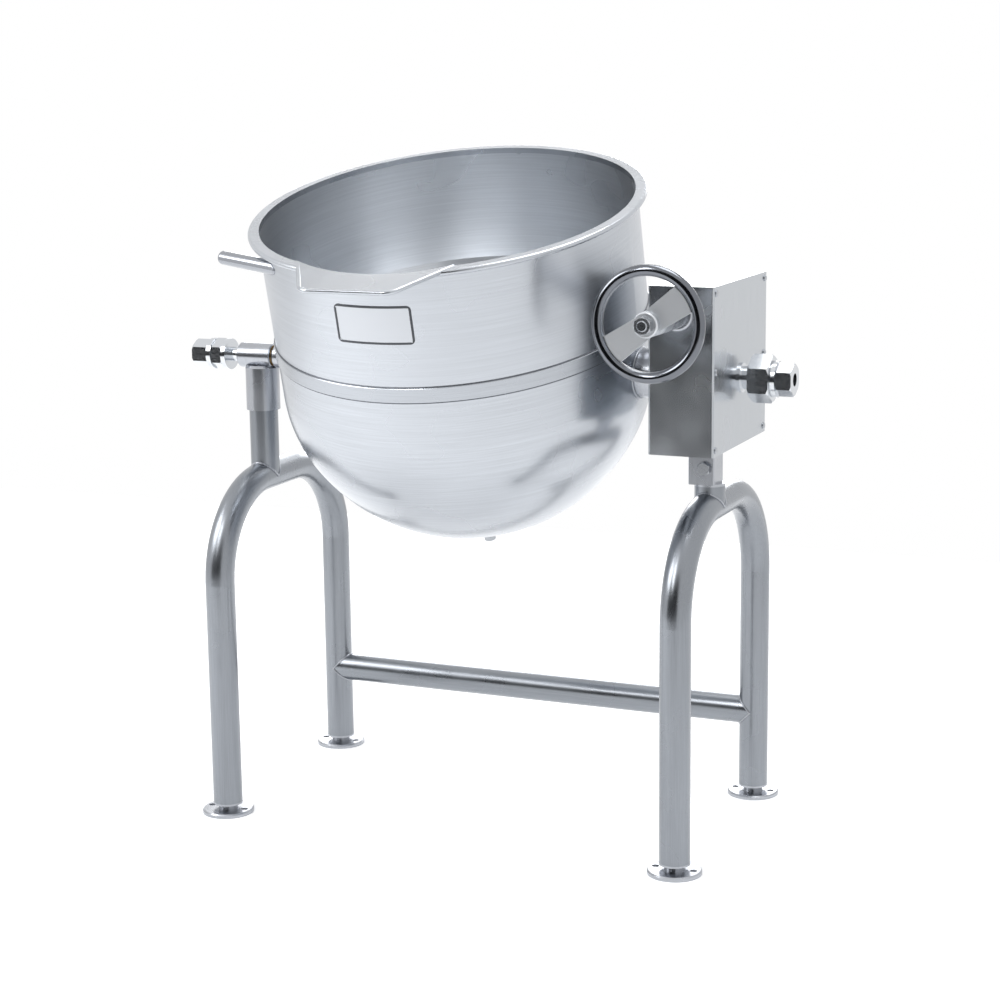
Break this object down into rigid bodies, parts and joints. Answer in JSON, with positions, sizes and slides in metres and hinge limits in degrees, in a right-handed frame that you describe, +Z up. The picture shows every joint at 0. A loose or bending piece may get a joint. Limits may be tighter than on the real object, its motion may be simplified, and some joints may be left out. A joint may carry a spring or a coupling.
{
  "type": "steam jacketed kettle",
  "caption": "Tilting steam jacketed kettle: a double-walled bowl with a pouring lip on hollow trunnions, tipped by a handwheel and worm gearbox on a bent-tube stand.",
  "frame": {"origin": "on the floor, midway between the four feet", "axes": "+X towards the gearbox and steam inlet, along the trunnion axis; -Y to the front, where the kettle pours; +Z up"},
  "size_m": [1.0506, 0.728, 1.0943],
  "materials": {
    "brushed_tube": "satin brushed along the tube",
    "machined_stainless": "turned and brushed",
    "casing_sheet": "brushed sheet",
    "kettle_sheet": "finely brushed round the kettle",
    "polished_stainless": "polished",
    "bronze": "machined",
    "fastener_steel": "turned",
    "plated_fitting": "plated and slightly dull",
    "seal_ptfe": "matt",
    "shaft_steel": "ground",
    "plate_aluminium": "satin, bare"
  },
  "bodies": {
    "stand": {"left_leg_arch": "brushed_tube", "right_leg_arch": "brushed_tube", "rear_cross_tube": "brushed_tube", "left_post": "brushed_tube", "right_post": "brushed_tube", "front_left_foot": "machined_stainless", "rear_left_foot": "machined_stainless", "front_right_foot": "machined_stainless", "rear_right_foot": "machined_stainless", "foot_pins": "fastener_steel", "left_bearing_support": "machined_stainless", "left_trunnion_bush": "bronze", "right_post_plug": "machined_stainless", "gearbox_pedestal": "machined_stainless", "pedestal_bolt": "fastener_steel", "gearbox_housing": "casing_sheet", "gearbox_cover": "casing_sheet", "cover_screws": "fastener_steel", "inner_trunnion_bearing": "shaft_steel", "inner_trunnion_bush": "bronze", "outer_trunnion_bearing": "shaft_steel", "outer_trunnion_bush": "bronze", "worm_shaft_sleeve": "machined_stainless", "front_worm_bush": "bronze", "middle_worm_bush": "bronze", "rear_worm_boss": "shaft_steel", "rear_worm_bush": "bronze", "steam_gland": "plated_fitting", "steam_seal_ring": "seal_ptfe", "steam_union_nut": "plated_fitting", "steam_inlet_tailpiece": "plated_fitting", "condensate_gland": "plated_fitting", "condensate_seal_ring": "seal_ptfe", "condensate_union_nut": "plated_fitting", "condensate_tailpiece": "plated_fitting"},
    "kettle": {"inner_bowl": "kettle_sheet", "outer_jacket": "kettle_sheet", "seam_band": "kettle_sheet", "rim_ring": "kettle_sheet", "pour_lip": "kettle_sheet", "side_handle": "polished_stainless", "name_plate": "plate_aluminium", "right_trunnion_hub": "machined_stainless", "right_trunnion": "shaft_steel", "left_trunnion_hub": "machined_stainless", "left_trunnion": "shaft_steel", "siphon_tube": "shaft_steel", "drain_boss": "machined_stainless", "drain_plug": "fastener_steel", "worm_wheel": "bronze", "wheel_key": "shaft_steel"},
    "worm_drive": {"worm_shaft": "shaft_steel", "worm": "shaft_steel", "front_shaft_collar": "shaft_steel", "rear_shaft_collar": "shaft_steel", "handwheel": "polished_stainless", "handwheel_nut": "fastener_steel"}
  },
  "joints": [
    {"name": "kettle_tilt", "type": "hinge", "parent": "stand", "child": "kettle", "pos_m": [0, -0.042, 0.752], "axis": [1, 0, 0], "range_deg": [-15, 75]},
    {"name": "handwheel_turn", "type": "hinge", "parent": "stand", "child": "worm_drive", "pos_m": [0.389, -0.042, 0.862], "axis": [0, 1, 0], "range_deg": [-540, 2700]}
  ],
  "couplings": [
    {"joint": "handwheel_turn", "follows": "kettle_tilt", "ratio": 36}
  ]
}
